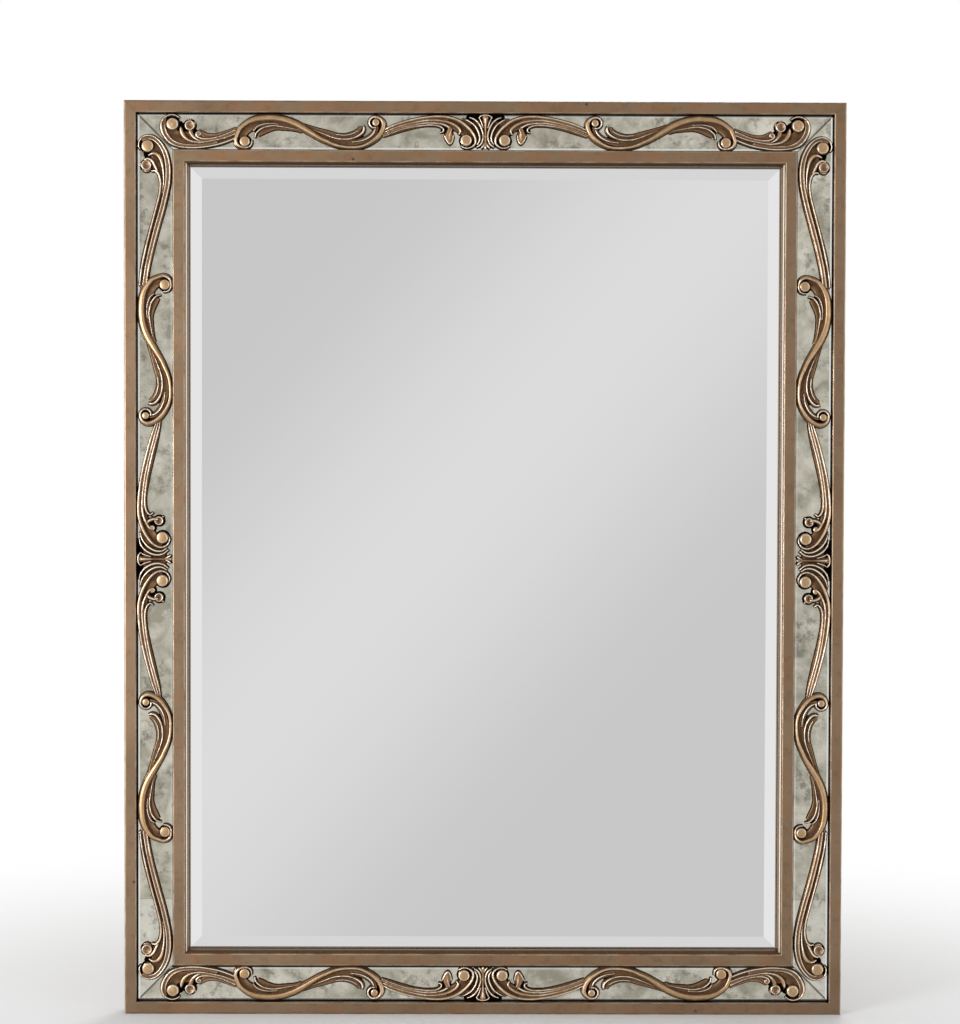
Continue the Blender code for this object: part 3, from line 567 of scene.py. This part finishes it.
def draw_spray(run):
    """A corner spray: a volute, a tongue, a bud and a curl, on a reeded stem. Its eye is at 0 along."""
    r = Relief()
    r.boss(0, 34.6, 8.4, 9)
    if run == "across":
        r.stroke([(-9, 36, 6), (-13, 31, 8), (-19, 27, 9), (-30, 24, 8)], SHADE_FILL_H, SLAB)
        r.stroke([(10.4, 42.5, 3), (12.8, 34, 4), (12.2, 27, 4.4), (9.2, 20, 4.4), (4.8, 13.8, 4.2),
                  (-0.8, 9, 4), (-10, 5.8, 4), (-22, 4.6, 4), (-34, 4.6, 4), (-46, 5.8, 4), (-60, 9, 4)],
                 VALLEY_H, FLAT)
        r.stroke([(-40, 12.6, 3), (-50, 13.4, 3.6), (-60, 15.2, 4), (-72, 19, 4), (-86, 24.4, 4)], VALLEY_H,
                 FLAT)
        r.boss(-35.4, 20.6, 2.2, 6.4, dish=0.1)
        r.stroke([(-9.4, 43.4, 1.6), (-4.5, 46.4, 2.2), (1.8, 47.2, 2.6), (8.2, 45.2, 3), (13, 40.8, 3.5),
                  (15.2, 34.6, 3.9), (14.8, 27.6, 4), (12.2, 20.4, 3.8), (8.4, 14.2, 3.5), (3.7, 9.6, 3.2),
                  (-1.8, 6.4, 3), (-10, 3.8, 2.9), (-22.1, 2.6, 2.8), (-34, 2.6, 2.8), (-45, 3.8, 2.8),
                  (-57.9, 6, 2.8), (-69.5, 9.2, 2.8), (-81, 13.6, 2.7), (-88, 16.8, 2.6)], CREST_H)
        r.stroke([(9.2, 38, 1.4), (10.4, 32, 2), (9, 25.4, 2.4), (5.4, 18.8, 2.5), (0.8, 13.6, 2.5),
                  (-4.8, 10, 2.4), (-12, 7.8, 2.2), (-21, 6.8, 2), (-31, 6.6, 1.9), (-42, 7.4, 1.8),
                  (-54, 9.4, 1.6)], CREST_H - 0.8)
        r.stroke([(-11.2, 30.4, 2.4), (-11.8, 26, 5), (-13.7, 21.1, 6.4), (-16.8, 16.8, 6),
                  (-22.1, 12.8, 4.6), (-28.4, 10.6, 3.4), (-36.8, 9.8, 2.8), (-45.3, 10.6, 2.6),
                  (-56, 12.6, 2.5), (-70, 15.8, 2.5), (-86, 21.6, 2.4)], LEAF_H + 0.8)
        r.stroke([(-38.6, 19.4, 1.5), (-38.2, 22.6, 2.1), (-34.9, 24, 2.3), (-32.2, 21.4, 2.4),
                  (-34.4, 17.4, 2.4), (-41, 15, 2.4), (-51, 15, 2.4), (-61, 16.8, 2.5), (-72, 20.6, 2.5),
                  (-86, 26.8, 2.4)], LEAF_H)
        r.boss(-23.6, 33, 7, LEAF_H, dish=0.4)
        r.stroke([(-22.6, 34, 9), (-23.4, 40.6, 5)], 6, SLAB)
        r.stroke([(-27, 33, 7), (-29.6, 36.4, 4)], 6, SLAB)
        r.stroke([(-23.8, 28, 7), (-25.6, 21.6, 6), (-30.4, 15.6, 4), (-38, 12, 2.6), (-50, 11.8, 1.6)],
                 LEAF_H - 1.4)
        r.stroke([(-36, 26, 3), (-43, 20.6, 6), (-52, 18.4, 6.4), (-62, 19.4, 6), (-74, 23.6, 5),
                  (-87, 29.4, 3)], HOLLOW_H, SLAB)
        r.stroke([(9, 32, 10), (1, 24, 14), (-4, 19, 15), (-12, 17, 16), (-21, 16, 16), (-34, 12, 15),
                  (-52, 11, 11), (-76, 16.6, 11), (-87, 21, 10)], HOLLOW_H, SLAB)
    else:
        r.stroke([(-10, 37, 6), (-16, 33, 8), (-25, 28, 10), (-33, 25, 5)], SHADE_FILL_H, SLAB)
        r.stroke([(9, 41.5, 3), (12.2, 34, 4), (10.8, 26.8, 4.4), (5.6, 20, 4.6), (-2.2, 14.2, 4.6),
                  (-12, 10, 4.6), (-23, 7.4, 4.6), (-35, 6.5, 4.6), (-47.5, 7.1, 4.6), (-58.6, 8.7, 4.6),
                  (-83.6, 14.4, 4.8), (-108.6, 21.5, 4.8), (-133.6, 28, 4.8), (-158.6, 34, 4.6),
                  (-190, 39, 4.2)], VALLEY_H, FLAT)
        r.stroke([(-4.4, 44.8, 1.6), (-1.4, 46.6, 2.2), (3.4, 46.8, 2.6), (8.3, 45, 2.8), (12.6, 40.4, 3),
                  (14.4, 33.6, 3.2), (12.8, 26.2, 3.3), (7.4, 18.8, 3.4), (-1, 12.4, 3.4),
                  (-11.4, 7.6, 3.4), (-23.2, 4.8, 3.4), (-35, 4, 3.4), (-47.5, 4.6, 3.4), (-58.6, 6.2, 3.4),
                  (-83.6, 12, 3.4), (-108.6, 19, 3.4), (-133.6, 25.8, 3.4), (-158.6, 31.8, 3.3),
                  (-172, 34.2, 3.1), (-190, 36.6, 2.8)], CREST_H)
        r.stroke([(5, 42, 1.4), (8.4, 38.6, 2), (9.8, 33.4, 2.4), (8.6, 27.4, 2.6), (3.8, 21, 2.6),
                  (-3.2, 16, 2.6), (-12, 12.2, 2.6), (-23.2, 9.8, 2.6), (-35, 8.9, 2.6), (-47.5, 9.5, 2.6),
                  (-58.6, 11.1, 2.6), (-83.6, 16.8, 2.6), (-108.6, 23.9, 2.6), (-133.6, 30.4, 2.6),
                  (-158.6, 36.2, 2.5), (-172, 38.5, 2.4), (-190, 41.1, 2.2)], CREST_H - 1)
        r.stroke([(-12.6, 33.4, 2), (-10.4, 27, 4.6), (-12, 20.8, 6.2), (-18.3, 16.6, 5.4),
                  (-28.1, 14, 3.8), (-39.2, 12.8, 2.6), (-52, 13, 2), (-64, 14.6, 1.4)], CREST_H - 0.6)
        r.stroke([(-33.9, 29.4, 1.8), (-34, 23.4, 3.2), (-39.4, 19, 3.4), (-48.9, 17, 3.4),
                  (-60, 17.4, 3.4), (-71.1, 19.4, 3.4), (-96.1, 26, 3.4), (-121.1, 32.6, 3.4),
                  (-146.1, 38.6, 3.2), (-170, 43.4, 2.9), (-190, 45.8, 2.4)], LEAF_H + 0.8)
        r.boss(-26.2, 36.4, 7.2, LEAF_H, dish=0.4)
        r.stroke([(-26, 38, 8), (-25.4, 43.6, 5)], 6, SLAB)
        r.stroke([(-18.4, 38.6, 3), (-17.6, 33.6, 4), (-20.4, 28.4, 4.6), (-27, 24.6, 4.2),
                  (-34, 21.4, 3.4)], LEAF_H)
        r.stroke([(-32.6, 41, 1.6), (-34.4, 37, 2.2), (-33, 32.6, 2), (-29.6, 30, 1.8)], 6.6)
        r.stroke([(8, 33, 10), (1, 25, 14), (-6, 22, 15), (-15, 21, 18), (-27, 19, 18), (-38, 14, 14),
                  (-60, 12, 12), (-84, 17.6, 13), (-130, 30.6, 13), (-160, 38, 12), (-189, 41, 11)],
                 HOLLOW_H, SLAB)
    return r


def draw_centre(run):
    """The middle of a member: a fan, and on both sides a C-scroll on a reeded stem with leaves."""
    r = Relief()
    for side in (1, -1):
        def stroke(points, height, section=ROUND, lean=0.0):
            r.stroke([(side * a, c, w) for a, c, w in points], height, section, (side * lean, side * lean))

        if run == "across":
            stroke([(33, 6.4, 1.8), (29.4, 3.9, 2.2), (23.9, 3.3, 2.6), (18.9, 4.9, 3), (15, 8.3, 3.4),
                    (13.8, 13.1, 3.8), (15.2, 18.8, 4.2), (19.8, 26.1, 4.6), (26.7, 33.1, 5),
                    (34.4, 38.6, 5.2), (43.3, 42.6, 5.2), (54.4, 45, 5), (68.9, 45.4, 4.8),
                    (82.2, 44.2, 4.8), (93.3, 42.4, 4.8), (104.4, 39.8, 4.6), (115.6, 36.6, 4.6),
                    (126.7, 32.8, 4), (134, 29.6, 3), (142, 26, 1.3)], CREST_H, lean=0.25)
            stroke([(36.6, 22, 2.2), (34.6, 25.8, 4), (37.2, 30.3, 4.8), (43.3, 34.7, 4.9), (51.1, 38, 4.7),
                    (60, 39.8, 4.2), (71.1, 40.6, 3.8), (84.4, 39.9, 3.6), (100, 36.8, 3.4),
                    (115.6, 32.9, 3.2), (131, 27.4, 2.6), (142, 23, 1.3)], CREST_H - 0.8, lean=0.2)
            stroke([(50, 31.4, 3.2), (55, 34.2, 3.2), (62, 36.2, 3), (73, 37.2, 2.8), (84.4, 36.9, 2.8),
                    (100, 34, 2.8), (115.6, 30.4, 2.6), (141, 20.8, 1.4)], LEAF_H)
            stroke([(61.6, 24.6, 1.6), (57.8, 26, 2.1), (58.2, 30, 2.4), (64.4, 33.4, 2.5),
                    (73.3, 34.5, 2.5), (84.4, 34, 2.4), (100, 31.8, 2.4), (115.6, 28, 2.2),
                    (140, 18.8, 1.3)], LEAF_H - 0.4)
            stroke([(48.9, 31.6, 4), (49.4, 25, 9), (50, 18.8, 12.4), (49.2, 13.4, 8.6), (48.6, 9.6, 2.4)],
                   6)
            stroke([(46.4, 29.4, 2), (48.4, 23, 2.6), (49.3, 15, 2.2)], LEAF_H)
            stroke([(56, 20.4, 1.8), (53, 13.8, 2), (48.6, 8.8, 1.9), (45, 13.8, 2), (43.9, 20.6, 2)], 7)
            stroke([(21.7, 45, 1.7), (16.7, 43.3, 2.4), (11.1, 38.9, 2.9), (6.7, 32.3, 3), (4, 24.7, 3),
                    (3.4, 18.1, 2.9), (4.7, 11.4, 2.9), (8, 6.8, 2.7), (12, 4.6, 2)], CREST_H - 1)
            stroke([(27, 42.2, 1.8), (22.2, 39.5, 2.5), (15.6, 34.6, 3), (10.8, 27.5, 3.1),
                    (8.2, 19.7, 3.1), (8.4, 13.1, 2.8), (11.3, 8.2, 2)], LEAF_H)
            stroke([(54.4, 27.6, 5), (60, 28.4, 4)], SHADE_FILL_H, SLAB)
            stroke([(20, 37, 5), (27, 40, 5), (32, 42, 3)], HOLLOW_H, SLAB)
            stroke([(52, 41.6, 4), (62, 42.6, 4.4), (74, 42.8, 4.4), (86, 41.6, 4.4), (100, 38.8, 4.4),
                    (115, 34.8, 4.4), (133, 28.8, 4.4)], VALLEY_H, FLAT)
            stroke([(73, 38.9, 4), (84.4, 38.4, 4), (100, 35.4, 4), (115.6, 31.6, 4), (133, 25, 4)],
                   VALLEY_H, FLAT)
            stroke([(22, 19, 12), (26, 25, 14), (34, 31, 14), (46, 36, 12), (62, 39, 11), (86, 38.6, 12),
                    (108, 34, 12), (139, 23, 9)], HOLLOW_H, SLAB)
            r.boss(side * 26.3, 13.6, 7.9, 9.2)
        else:
            stroke([(33, 7, 1.8), (27.9, 4.8, 2.2), (22.8, 6.1, 2.6), (18.1, 10.5, 3), (16.8, 17.9, 3.6),
                    (20.4, 26, 4.1), (27.9, 33.1, 4.6), (38.2, 39.5, 4.9), (50, 44.3, 4.9),
                    (60.3, 46.6, 4.6), (69.9, 47.2, 4.4), (77.9, 47, 4.2), (88.2, 46.4, 4),
                    (102.9, 44.8, 3.8), (117.6, 42.3, 3.7), (132.4, 39, 3.6), (147.1, 35.2, 3.5),
                    (163.2, 30.8, 3.4), (176, 27, 3), (190, 22.2, 1.3)], CREST_H, lean=0.25)
            stroke([(41, 27.2, 2.4), (42.2, 31.2, 3.4), (47.1, 35, 3.7), (57.4, 39.8, 3.6),
                    (67.6, 41.9, 3.5), (77.9, 42.3, 3.1), (92.6, 41.1, 3), (107.4, 39.2, 3),
                    (122.1, 36.7, 3), (136.8, 33.6, 2.9), (151.5, 29.8, 2.8), (176, 23.4, 2.5),
                    (190, 20, 1.2)], CREST_H - 0.8, lean=0.2)
            stroke([(64, 27.6, 1.8), (61.2, 31.4, 2.5), (64.4, 35.6, 2.9), (71, 38, 3), (79, 38.7, 3),
                    (88, 38.4, 3), (101.5, 37, 3), (116.2, 34.7, 2.9), (132.4, 31.4, 2.8),
                    (148.5, 27.4, 2.7), (176, 20, 2.2), (190, 17.6, 1.1)], LEAF_H)
            stroke([(49, 37, 4), (53, 32, 5), (55, 26, 4.4), (54.6, 22, 4)], LEAF_H)
            r.boss(side * 52.8, 19.4, 6.2, LEAF_H, dish=0.45)
            stroke([(57, 16, 3), (59, 12.8, 1.5)], 6)
            r.boss(side * 42.8, 28.8, 3.8, 7)
            stroke([(28, 46.6, 1.8), (20.6, 44.7, 2.7), (13.2, 39.1, 3.1), (8.1, 31.1, 3.2),
                    (5.9, 22.3, 3.2), (7.4, 13.5, 3), (12.5, 6.9, 2)], CREST_H - 1)
            stroke([(36.6, 45.6, 1.7), (26.5, 41.9, 2.8), (17.6, 34.7, 3.3), (11.9, 25.2, 3.4),
                    (11.2, 15.7, 3), (15.2, 8.6, 2)], LEAF_H)
            stroke([(46.6, 25, 6), (56, 28, 6)], SHADE_FILL_H, SLAB)
            stroke([(24, 34, 6), (32, 40, 6), (40, 44.4, 3)], HOLLOW_H, SLAB)
            stroke([(60, 43.4, 4), (70, 44.8, 4.4), (78, 44.9, 4.4), (90, 44, 4.4), (105, 42.3, 4.4),
                    (120, 39.8, 4.4), (134, 36.8, 4.4), (150, 32.8, 4.4), (176, 25, 4.2)], VALLEY_H, FLAT)
            stroke([(70, 40, 4), (79, 40.7, 4), (90, 40, 4), (105, 38.2, 4), (120, 35.8, 4), (135, 32.8, 4),
                    (150, 29, 4), (176, 21.4, 4)], VALLEY_H, FLAT)
            stroke([(24, 19, 12), (28, 26, 14), (37, 33, 13), (48, 38, 11), (64, 41.6, 10), (88, 42, 10),
                    (116, 37.6, 11), (146, 30.6, 11), (174, 23.6, 9), (189, 19.8, 4)], HOLLOW_H, SLAB)
            r.boss(side * 29.6, 14.6, 8.2, 9.2)
    r.stroke([(-25, 45.6, 4), (-12, 43.4, 11), (12, 43.4, 11), (25, 45.6, 4)], SHADE_FILL_H, SLAB)
    # the fan between the two scrolls: a waisted blade with a raised rib, flared above and toed below
    r.stroke([(-17, 27, 26), (0, 26, 32), (17, 27, 26)], HOLLOW_H - 0.8, SLAB)
    r.stroke([(0, 45, 9), (0, 41, 7.4), (0, 34, 4.6), (0, 25, 3.4), (0, 15, 3.6), (0, 8, 4.4),
              (0, 4.4, 5.4)], 6)
    r.stroke([(0, 44, 2.4), (0, 32, 2.2), (0, 16, 1.8), (0, 5, 1.6)], CREST_H - 1)
    r.stroke([(-9.2, 44.4, 1.6), (-6.4, 47, 2.2), (0, 48.4, 2.4), (6.4, 47, 2.2), (9.2, 44.4, 1.6)],
             CREST_H)
    for lean in (-1, 1):
        r.stroke([(lean * 8.4, 44.6, 1.6), (lean * 5.4, 38, 2), (lean * 3.4, 31, 1.8)], CREST_H - 1.6)
        r.stroke([(lean * 1.6, 10, 2), (lean * 3.4, 5.6, 2.8), (lean * 5.6, 3.4, 2.6)], LEAF_H + 0.6)
    return r


# ---------------------------------------------------------------- placing pieces

CHANNEL_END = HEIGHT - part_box("inner_rail_top")[1].z
SPRAY_EYE_REACH = 17 * MM  # from a spray's eye to the end of its CAD solid


def member_frame(turn):
    """A member's own frame: X along it from its middle, Z falling from 0 at the outer edge, front at -Y."""
    middle = Vector((0, 0, HEIGHT / 2))
    reach = HEIGHT / 2 if turn % 180 == 0 else WIDTH / 2
    rotation = Matrix.Rotation(math.radians(turn), 4, "Y")
    return Matrix.Translation(middle + rotation @ Vector((0, 0, reach))) @ rotation


def place_along(node, frame_matrix):
    """The near and far ends of a CAD node along its member, as distances from the member's middle."""
    ends = [abs((frame_matrix.inverted() @ corner).x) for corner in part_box(node)]
    return min(ends), max(ends)


def placed(mesh, name, frame_matrix, along, mirror):
    """A copy of an ornament at a place along a member, mirrored for the member's -X half."""
    made = mesh.copy()
    made.name = name
    shift = Matrix.Translation((mirror * along, STRIP_FRONT, -CHANNEL_END))
    made.transform(frame_matrix @ shift @ Matrix.Diagonal((mirror, 1, 1, 1)))
    if mirror < 0:
        made.flip_normals()
    return made


def add_piece(name, mesh, material, nodes):
    """Shows a mesh in place of CAD nodes, on the frame's body."""
    piece = bpy.data.objects.new(name, mesh)
    bpy.context.scene.collection.objects.link(piece)
    mesh.materials.clear()
    mesh.materials.append(material)
    mesh.shade_smooth()
    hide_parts(*nodes)
    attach(piece, "frame")


def place_ornaments(gilt):
    """Puts the castings on all four members, each in place of its CAD node."""
    def cast(mesh, node, here, along, mirror):
        name = node + "_cast"
        add_piece(name, placed(mesh, name, here, along, mirror), gilt, [node])

    scroll = draw_scroll().casting("scroll")
    for run in ("across", "up"):
        spray = draw_spray(run).casting("spray")
        centre = draw_centre(run).casting("centre")
        for member, (turn, halves) in MEMBERS.items():
            if RUN[member] != run:
                continue
            here = member_frame(turn)
            cast(centre, f"centre_carving_{member}", here, 0, 1)
            for mirror, half in zip((1, -1), halves):
                node = f"scroll_{member}_{half}"
                cast(scroll, node, here, sum(place_along(node, here)) / 2, mirror)
                node = f"spray_{member}_{half}"
                cast(spray, node, here, place_along(node, here)[1] - SPRAY_EYE_REACH, mirror)


def finish_cad_nodes():
    """Gives every CAD node that stays visible its material."""
    outer_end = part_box("antique_strip_left_upper")[0].x - CAD_LOW.x
    inner_end = INNER_FLAT_W + CHANNEL_END
    paint = moulding_paint((0.9 * MM, outer_end - 0.9 * MM, CHANNEL_END + 0.9 * MM, inner_end - 0.7 * MM),
                           (outer_end - 0.6 * MM, CHANNEL_END + 0.4 * MM), inner_end)
    strip_edges = (outer_end, CHANNEL_END)
    finishes = {
        "outer_rail": paint, "inner_rail": paint,
        "antique_strip": antiqued_mirror("antiqued_mirror", strip_edges, tarnished=(0.39, 0.365, 0.285),
                                         silvered=(0.82, 0.785, 0.67)),
        "mirror_glass": clear_mirror(), "channel_board": fibreboard(), "back_panel": hardboard(),
        "post_block": pine(), "foam": foam(), "hanger": zinc(),
    }
    finishes["panel_screw"] = finishes["hanger"]
    pale = antiqued_mirror("pale_antiqued_mirror", strip_edges, tarnished=(0.64, 0.62, 0.53),
                           silvered=(0.84, 0.82, 0.72))
    finishes["antique_strip_left_lower"] = finishes["antique_strip_right_lower"] = pale
    for name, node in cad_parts.items():
        for start, material in finishes.items():
            if name.startswith(start):
                node.data.materials.clear()
                node.data.materials.append(material)
    fill_mitres(paint, outer_end, inner_end)


# The faces of a bar whose eight corners are listed by end, then by side, then front before back
BOX_FACES = [(0, 1, 3, 2), (4, 6, 7, 5), (0, 4, 5, 1), (2, 3, 7, 6), (0, 2, 6, 4), (1, 5, 7, 3)]


def fill_mitres(paint, outer_end, inner_end):
    """Painted filler in the mitre joints, just below the faces of the rails and the glass strips."""
    rail_front, rail_back = (corner.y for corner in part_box("outer_rail_top"))
    inner_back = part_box("inner_rail_top")[1].y
    margin = 1.2 * MM
    sunk = 0.25 * MM
    half = 0.3 * MM
    stretches = {
        "outer": (margin, outer_end - margin, rail_front + sunk, rail_back - margin),
        "strip": (outer_end + margin, CHANNEL_END - margin, STRIP_FRONT + sunk, STRIP_FRONT + 3 * MM),
        "inner": (CHANNEL_END + margin, inner_end - margin, FACE_DEPTH + sunk, inner_back - margin),
    }
    for side, across in (("left", -1), ("right", 1)):
        for level, top in (("top", 1), ("bottom", -1)):
            for rail, (start, end, front, back) in stretches.items():
                corners = []
                for inset in (start, end):
                    x = across * (WIDTH / 2 - inset)
                    z = HEIGHT / 2 + top * (HEIGHT / 2 - inset)
                    for shift in (-half, half):
                        for y in (front, back):
                            corners.append((x + across * shift, y, z - top * shift))
                name = f"mitre_filler_{rail}_{level}_{side}"
                mesh = bpy.data.meshes.new(name)
                mesh.from_pydata(corners, [], BOX_FACES)
                if across == top:
                    mesh.flip_normals()
                add_piece(name, mesh, paint, [])


# ---------------------------------------------------------------- studio

CAMERA_PLACE = Vector((-0.024, -3.2, 0.777))
CAMERA_YAW, CAMERA_PITCH, CAMERA_ROLL = (math.radians(a) for a in (0.324, -1.483, 0.166))
CAMERA_LENS = 81.46


def add_camera():
    data = bpy.data.cameras.new("camera")
    camera = bpy.data.objects.new("camera", data)
    bpy.context.scene.collection.objects.link(camera)
    bpy.context.scene.camera = camera
    data.lens = CAMERA_LENS
    level = math.cos(CAMERA_PITCH)
    ahead = Vector((math.sin(CAMERA_YAW) * level, math.cos(CAMERA_YAW) * level, math.sin(CAMERA_PITCH)))
    right = Vector((math.cos(CAMERA_YAW), -math.sin(CAMERA_YAW), 0))
    up = right.cross(ahead)
    rolled = math.cos(CAMERA_ROLL) * right + math.sin(CAMERA_ROLL) * up
    up = rolled.cross(ahead)
    camera.matrix_world = Matrix((rolled, up, -ahead)).transposed().to_4x4()
    camera.location = CAMERA_PLACE


def add_area_light(name, place, aim, size, power):
    data = bpy.data.lights.new(name, "AREA")
    data.shape = "DISK"
    data.size = size
    data.energy = power
    light = bpy.data.objects.new(name, data)
    bpy.context.scene.collection.objects.link(light)
    light.location = place
    light.rotation_euler = (Vector(aim) - Vector(place)).to_track_quat("-Z", "Y").to_euler()


def add_floor():
    """A pale round floor that fades into the white background."""
    radius = 3.0
    mesh = bpy.data.meshes.new("floor")
    sides = 96
    points = [(radius * math.cos(math.tau * k / sides), radius * math.sin(math.tau * k / sides), -0.2 * MM)
              for k in range(sides)]
    mesh.from_pydata(points, [], [tuple(range(sides))])
    floor = bpy.data.objects.new("floor", mesh)
    bpy.context.scene.collection.objects.link(floor)
    made, g = new_material("pale_floor")
    away = g.node("ShaderNodeVectorMath", {0: g.position()}, operation="LENGTH").outputs["Value"]
    solid = g.node("ShaderNodeBsdfDiffuse", {"Color": (0.86, 0.86, 0.86)})
    clear = g.node("ShaderNodeBsdfTransparent")
    fade = g.step(away, 0.35, 1.5)
    mixed = g.node("ShaderNodeMixShader", {0: fade, 1: solid.outputs[0], 2: clear.outputs[0]})
    g.node("ShaderNodeOutputMaterial", {"Surface": mixed.outputs[0]})
    mesh.materials.append(made)
    floor.visible_glossy = False


def add_world():
    """White to the camera. To reflections it is a grey room, with a soft diagonal band of light behind the
    camera, brighter sides, and a dark ceiling and floor."""
    world = bpy.data.worlds.new("studio")
    bpy.context.scene.world = world
    world.use_nodes = True
    g = Graph(world.node_tree)
    ray = g.node("ShaderNodeLightPath")
    look = g.node("ShaderNodeSeparateXYZ", {"Vector": g.node("ShaderNodeTexCoord").outputs["Generated"]})
    toward = g.math("MAXIMUM", g.math("MULTIPLY", look.outputs["Y"], -1.0), 0.05)
    across = g.math("DIVIDE", look.outputs["X"], toward)
    rise = g.math("DIVIDE", look.outputs["Z"], toward)
    # the soft diagonal band
    tilt = math.radians(42)
    middle = 0.012
    half_width = 0.123
    offset = g.math("SUBTRACT", g.math("SUBTRACT", g.math("MULTIPLY", across, math.cos(tilt)),
                                       g.math("MULTIPLY", rise, math.sin(tilt))), middle)
    phase = g.math("MINIMUM", g.math("DIVIDE", g.math("ABSOLUTE", offset), half_width), 1.0)
    band = g.math("MULTIPLY_ADD", g.math("COSINE", g.math("MULTIPLY", phase, math.pi)), 0.5, 0.5)
    grey = g.math("MULTIPLY_ADD", band, 0.15, 0.615)
    # lighter round the band, where the glass's bevels look
    across_size = g.math("ABSOLUTE", across)
    rise_size = g.math("ABSOLUTE", rise)
    sides = g.step(across_size, 0.16, 0.27)
    ends = g.step(rise_size, 0.22, 0.29)
    grey = g.math("MULTIPLY_ADD", sides, 0.22, grey)
    grey = g.math("MULTIPLY_ADD", g.math("MULTIPLY", ends, g.math("SUBTRACT", 1.0, sides)), 0.1, grey)
    # dark far above and below, and bright far to the sides
    steep = g.step(g.math("DIVIDE", across_size, rise_size), 1.2, 0.6)
    dark = g.math("MULTIPLY", g.step(rise_size, 0.5, 1.6), steep)
    grey = g.math("MULTIPLY", grey, g.math("MULTIPLY_ADD", dark, -0.75, 1.0))
    bright = g.math("MULTIPLY", g.step(across_size, 0.6, 1.4), g.math("SUBTRACT", 1.0, dark))
    grey = g.math("MULTIPLY_ADD", bright, 0.6, grey)
    seen = g.node("ShaderNodeBackground", {"Color": (1, 1, 1), "Strength": 1.0})
    mirrored = g.node("ShaderNodeBackground", {"Color": (1, 1, 1), "Strength": grey})
    ambient = g.node("ShaderNodeBackground", {"Color": (1, 1, 1), "Strength": 0.55})
    inner = g.node("ShaderNodeMixShader", {0: ray.outputs["Is Glossy Ray"], 1: ambient.outputs[0],
                                           2: mirrored.outputs[0]})
    outer = g.node("ShaderNodeMixShader", {0: ray.outputs["Is Camera Ray"], 1: inner.outputs[0],
                                           2: seen.outputs[0]})
    g.node("ShaderNodeOutputWorld", {"Surface": outer.outputs[0]})


def add_studio():
    add_camera()
    add_floor()
    add_world()
    centre = (0, 0, HEIGHT / 2)
    add_area_light("key", (-2.3, -2.43, 0.75), centre, 1.2, 69)
    add_area_light("fill", (2.4, -2.6, 0.9), centre, 1.6, 6)
    add_area_light("back", (0.8, 2.6, 1.8), centre, 1.6, 40)
    bpy.context.scene.view_settings.view_transform = "Standard"


# ---------------------------------------------------------------- build

finish_cad_nodes()
place_ornaments(ornament_gilt())
add_studio()
